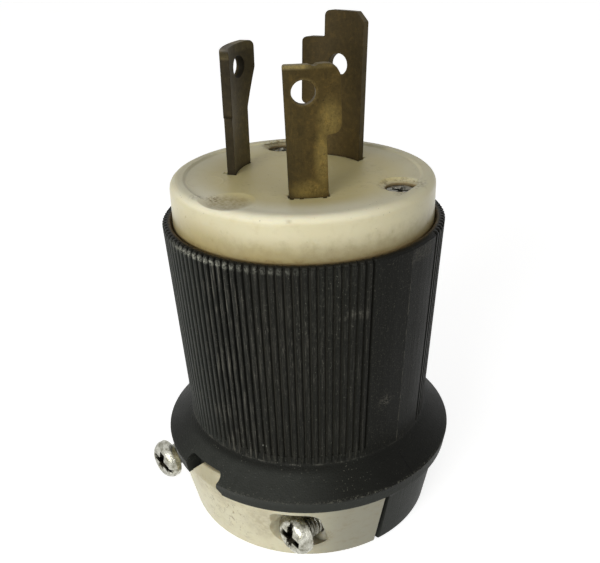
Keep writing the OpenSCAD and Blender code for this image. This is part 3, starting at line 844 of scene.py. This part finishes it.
# Clean spots are (along, height), radius and squash; the hole is (along, height)
BLADES = {
    "line_blade_1": {
        "azimuth": -37.6,
        "tones": {
            "dark": (54, 45, 22),
            "light": (84, 69, 35),
            "inside": (60, 50, 26),
            "edge": (122, 109, 70),
        },
        "clean": (
            ((0.2, 68.6), 2.7, (1, 1, 1.4)),
            ((3.6, 80.5), 1.8, (1, 1, 0.6)),
            ((2.4, 74), 1.2, (1, 1, 0.25)),
        ),
        "hole": (-0.5, 85),
    },
    "line_blade_2": {
        "azimuth": 210.6,
        "tones": {
            "dark": (34, 30, 20),
            "light": (48, 42, 28),
            "inside": (92, 82, 54),
            "edge": (96, 86, 58),
        },
        "clean": (
            ((5.6, 89.6), 1.2, (1, 1, 1)),
            ((2.5, 78), 1.4, (1, 1, 0.3)),
        ),
        "hole": (-1.0, 86),
    },
    "ground_blade": {
        "azimuth": 99.4,
        "tones": {
            "dark": (66, 56, 30),
            "light": (44, 37, 22),
            "inside": (72, 60, 34),
            "edge": (70, 59, 34),
        },
        "clean": (((3.6, 73), 1.2, (1, 1, 0.25)),),
        "hole": (1.2, 84.8),
    },
}


def blade_brass(name, azimuth, tones, clean, hole):
    spots = [
        (blade_point(azimuth, *centre), radius, radius * 0.6, squash)
        for centre, radius, squash in clean
    ]
    return tarnished_brass("brass_" + name, azimuth, tones, spots, blade_point(azimuth, *hole))


def dress(material, *names):
    for name in names:
        for slot in NODES[name].material_slots:
            slot.material = material


dress(black_nylon(), "housing")
dress(nose_nylon(), "front_body")
dress(jaw_nylon(), "clamp_jaw", "rear_body")
for blade, looks in BLADES.items():
    dress(blade_brass(blade, **looks), blade)
dress(
    bright_brass("terminal_brass"),
    "line_clamp_plate_1",
    "line_clamp_plate_2",
    "ground_clamp_plate",
    "assembly_insert_1",
    "assembly_insert_2",
)
dress(
    zinc("zinc_plate"),
    "line_terminal_screw_1",
    "line_terminal_screw_2",
    "cord_clamp_nut_1",
    "cord_clamp_nut_2",
)
dress(zinc("green_zinc_plate", green=0.7), "ground_terminal_screw")
dress(
    zinc("zinc_assembly_screws", dirt=assembly_screw_shade_and_dirt),
    "assembly_screw_1",
    "assembly_screw_2",
)

# ---- Cord clamp screws: their looks, and a thread wound round each shank ----


def thread(name, material, x, head_y):
    """Closed ridge that winds round a clamp screw's axis and fades at both ends."""
    y0, y1 = head_y + THREAD_START, THREAD_END_Y
    count = int(round((y1 - y0) / THREAD_PITCH * THREAD_STEPS))
    fade = THREAD_STEPS / 2
    bm = bmesh.new()
    rings = []
    for i in range(count + 1):
        turn = 2 * math.pi * i / THREAD_STEPS
        y = y0 + (y1 - y0) * i / count
        rise = max(min(1, i / fade, (count - i) / fade), 0.1)
        top = THREAD_ROOT_R + (THREAD_CREST_R - THREAD_ROOT_R) * rise
        profile = ((THREAD_ROOT_R, -0.42), (top, -0.07), (top, 0.07), (THREAD_ROOT_R, 0.42))
        rings.append([
            bm.verts.new((
                (x + r * math.cos(turn)) * MM,
                (y + share * THREAD_PITCH) * MM,
                (CLAMP_SCREW_Z + r * math.sin(turn)) * MM,
            ))
            for r, share in profile
        ])
    for a, b in zip(rings, rings[1:]):
        for k in range(4):
            bm.faces.new((a[k], a[(k + 1) % 4], b[(k + 1) % 4], b[k]))
    bm.faces.new(rings[0][::-1])
    bm.faces.new(rings[-1])
    bmesh.ops.recalc_face_normals(bm, faces=bm.faces)
    mesh = bpy.data.meshes.new(name)
    bm.to_mesh(mesh)
    bm.free()
    piece = bpy.data.objects.new(name, mesh)
    bpy.context.scene.collection.objects.link(piece)
    mesh.materials.append(material)
    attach(piece, "root")


for i, (screw_x, head_y) in enumerate(zip((-CLAMP_SCREW_X, CLAMP_SCREW_X), CLAMP_HEAD_Y), 1):
    screw_zinc = zinc(f"zinc_clamp_screw_{i}", dirt=clamp_screw_shade_and_dirt(head_y))
    dress(screw_zinc, f"cord_clamp_screw_{i}")
    thread(f"cord_clamp_thread_{i}", screw_zinc, screw_x, head_y)

# ---- Floor, light and camera ----

WHITE = (1, 1, 1, 1)
DIRECT_RAYS = ("Is Camera Ray", "Is Glossy Ray", "Is Transmission Ray")
FLOOR_TONES = ((0.62, 0.62, 0.61, 1), (0.64, 0.64, 0.63, 1))
FLOOR_GLOW = 0.75
FLOOR_SIZE = 6
WORLD_STRENGTH = 0.28
LIGHT_AIM = Vector((0, 0, 0.045))
CAMERA_PLACE = (0.09921, -0.08933, 0.11002)
CAMERA_TURN = 48.415
CAMERA_DOWN = 25.61
CAMERA_ROLL = -1.586
CAMERA_LENS = 46.06


def floor_material():
    """Pale matt floor that shows as near white to the camera and in reflections."""
    s = Surface("pale_floor", Roughness=0.9)
    path = s.add("ShaderNodeLightPath")
    seen = s.either(*(path.outputs[ray] for ray in DIRECT_RAYS))
    s.shader.inputs["Emission Color"].default_value = WHITE
    s.links.new(s.times(seen, FLOOR_GLOW), s.shader.inputs["Emission Strength"])
    s.links.new(s.mix(s.noise(0.01, 2), *FLOOR_TONES), s.shader.inputs["Base Color"])
    return s.material


bpy.ops.mesh.primitive_plane_add(size=FLOOR_SIZE, location=(0, 0, 0))
floor = bpy.context.object
floor.name = "floor"
floor.data.materials.append(floor_material())


def studio_world():
    """Even soft light, and plain white where the camera or a reflection looks at it."""
    world = bpy.data.worlds.new("studio")
    world.use_nodes = True
    nodes, links = world.node_tree.nodes, world.node_tree.links
    nodes.clear()
    blend = nodes.new("ShaderNodeMixShader")
    for socket, strength in ((1, WORLD_STRENGTH), (2, 1.0)):
        background = nodes.new("ShaderNodeBackground")
        background.inputs["Color"].default_value = WHITE
        background.inputs["Strength"].default_value = strength
        links.new(background.outputs[0], blend.inputs[socket])
    path = nodes.new("ShaderNodeLightPath")
    seen = path.outputs[DIRECT_RAYS[0]]
    for ray in DIRECT_RAYS[1:]:
        either = nodes.new("ShaderNodeMath")
        either.operation = "MAXIMUM"
        links.new(seen, either.inputs[0])
        links.new(path.outputs[ray], either.inputs[1])
        seen = either.outputs[0]
    links.new(seen, blend.inputs[0])
    output = nodes.new("ShaderNodeOutputWorld")
    links.new(blend.outputs[0], output.inputs[0])
    return world


bpy.context.scene.world = studio_world()


def area_light(name, azimuth, elevation, distance, size, power):
    """Round lamp, aimed at the plug's middle, distances in metres and power in watts."""
    light = bpy.data.lights.new(name, "AREA")
    light.shape = "DISK"
    light.size = size
    light.energy = power
    lamp = bpy.data.objects.new(name, light)
    bpy.context.scene.collection.objects.link(lamp)
    a, e = math.radians(azimuth), math.radians(elevation)
    towards = Vector((math.cos(a) * math.cos(e), math.sin(a) * math.cos(e), math.sin(e)))
    lamp.location = LIGHT_AIM + towards * distance
    lamp.rotation_euler = towards.to_track_quat("Z", "Y").to_euler()


area_light("key", azimuth=-73, elevation=13, distance=0.9, size=0.5, power=6.2)
area_light("fill", azimuth=5, elevation=20, distance=1.0, size=0.7, power=1.7)

camera_data = bpy.data.cameras.new("camera")
camera_data.lens = CAMERA_LENS
camera_data.sensor_width = 36
camera_data.clip_start = 0.01
camera = bpy.data.objects.new("camera", camera_data)
bpy.context.scene.collection.objects.link(camera)
camera.matrix_world = (
    Matrix.Translation(CAMERA_PLACE)
    @ Matrix.Rotation(math.radians(CAMERA_TURN), 4, "Z")
    @ Matrix.Rotation(math.radians(90 - CAMERA_DOWN), 4, "X")
    @ Matrix.Rotation(math.radians(CAMERA_ROLL), 4, "Z")
)
bpy.context.scene.camera = camera

bpy.context.scene.view_settings.view_transform = "Standard"
